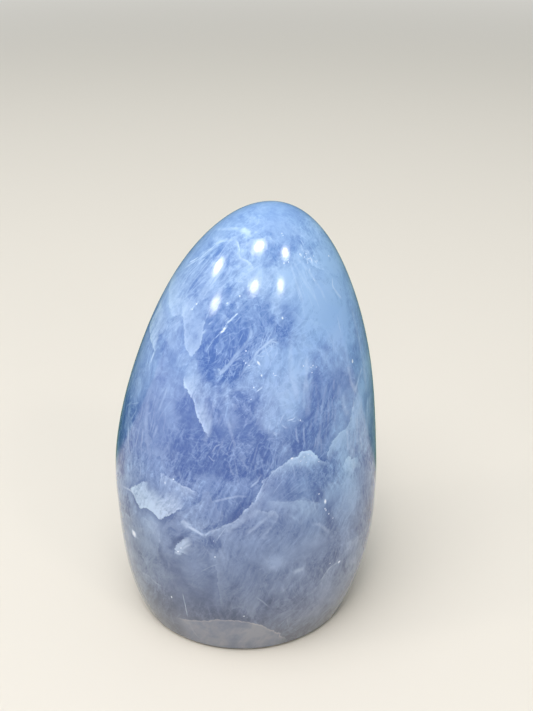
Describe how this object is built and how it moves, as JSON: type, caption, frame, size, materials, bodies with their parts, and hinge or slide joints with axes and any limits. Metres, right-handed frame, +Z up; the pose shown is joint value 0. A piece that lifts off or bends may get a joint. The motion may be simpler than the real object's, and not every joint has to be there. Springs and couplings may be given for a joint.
{
  "type": "polished blue calcite freeform",
  "caption": "Tall, leaning, egg-like polished blue calcite stone with cloudy white veils, standing on a flat-cut base.",
  "frame": {"origin": "middle of the flat-cut base, on the surface that the stone stands on", "axes": "+Z up along the stone's height, +X to the right across its broad face, -Y out of the broad face that the picture shows"},
  "size_m": [0.082, 0.0672, 0.137],
  "materials": {
    "polished_calcite": "cloudy blue calcite with white veils, ground and polished to a wet gloss, sawn flat under the base"
  },
  "bodies": {
    "root": {"blue_calcite": "polished_calcite"}
  },
  "joints": []
}
